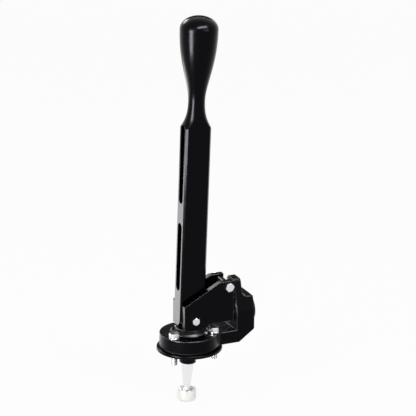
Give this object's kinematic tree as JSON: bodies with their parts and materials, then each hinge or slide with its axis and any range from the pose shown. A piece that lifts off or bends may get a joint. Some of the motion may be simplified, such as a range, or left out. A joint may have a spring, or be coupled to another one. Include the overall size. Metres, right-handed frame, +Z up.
{
  "type": "short shifter",
  "caption": "Billet short shifter: slotted lever with a pear-shaped grip on crossed axes in a turret base, with a seal dome below and a ball end in a nylon bush.",
  "frame": {"origin": "centre of the turret flange's underside, on the axis of its bore", "axes": "+Z up out of the gearbox turret, +X from the bore back to the bearing tower, Y along the pivot pin that the lever swings on"},
  "size_m": [0.0995, 0.066, 0.3951],
  "materials": {
    "black_aluminium": "satin black anodised",
    "bright_zinc": "bright zinc plated",
    "polished_steel": "polished",
    "bearing_steel": "ground",
    "bronze": "sintered",
    "black_rubber": "matt",
    "black_acetal": "smooth turned",
    "white_nylon": "smooth turned",
    "gasket_fibre": "matt fibre sheet"
  },
  "bodies": {
    "base": {"base_housing": "black_aluminium", "turret_flange": "black_aluminium", "turret_gasket": "gasket_fibre", "mount_bolt_far": "bright_zinc", "mount_bolt_front": "bright_zinc", "mount_bolt_rear": "bright_zinc", "mount_washer_far": "bright_zinc", "mount_washer_front": "bright_zinc", "mount_washer_rear": "bright_zinc", "seal_ring": "black_aluminium", "wiper_seal": "black_rubber", "front_bearing_outer_race": "bearing_steel", "rear_bearing_outer_race": "bearing_steel", "front_bearing_ball_cage": "bearing_steel", "rear_bearing_ball_cage": "bearing_steel", "bearing_cap": "black_aluminium"},
    "yoke": {"side_plate_near": "black_aluminium", "side_plate_far": "black_aluminium", "yoke_block": "black_aluminium", "yoke_screw_near": "bright_zinc", "yoke_screw_far": "bright_zinc", "pivot_screw_near": "bright_zinc", "pivot_screw_far": "bright_zinc", "yoke_dowel_lower": "polished_steel", "yoke_dowel_upper": "polished_steel", "shaft_cross_pin": "polished_steel", "gate_shaft": "polished_steel", "shaft_circlip": "bearing_steel", "shaft_spacer": "polished_steel", "front_bearing_inner_race": "bearing_steel", "rear_bearing_inner_race": "bearing_steel", "pivot_pin": "polished_steel"},
    "lever": {"shift_lever": "black_aluminium", "pivot_bushing_near": "bronze", "pivot_bushing_far": "bronze", "seal_dome": "black_acetal", "lever_stub": "polished_steel"},
    "bush": {"end_bush": "white_nylon"}
  },
  "joints": [
    {"name": "gate_tilt", "type": "hinge", "parent": "base", "child": "yoke", "pos_m": [0, 0, 0.0335], "axis": [1, 0, 0], "range_deg": [-5.5, 5.5]},
    {"name": "shift_throw", "type": "hinge", "parent": "yoke", "child": "lever", "pos_m": [0, 0, 0.0335], "axis": [0, 1, 0], "range_deg": [-7, 7]},
    {"name": "bush_tilt", "type": "hinge", "parent": "lever", "child": "bush", "pos_m": [-0.00312, 0, -0.04884], "axis": [0, 1, 0], "range_deg": [-12, 12]}
  ]
}
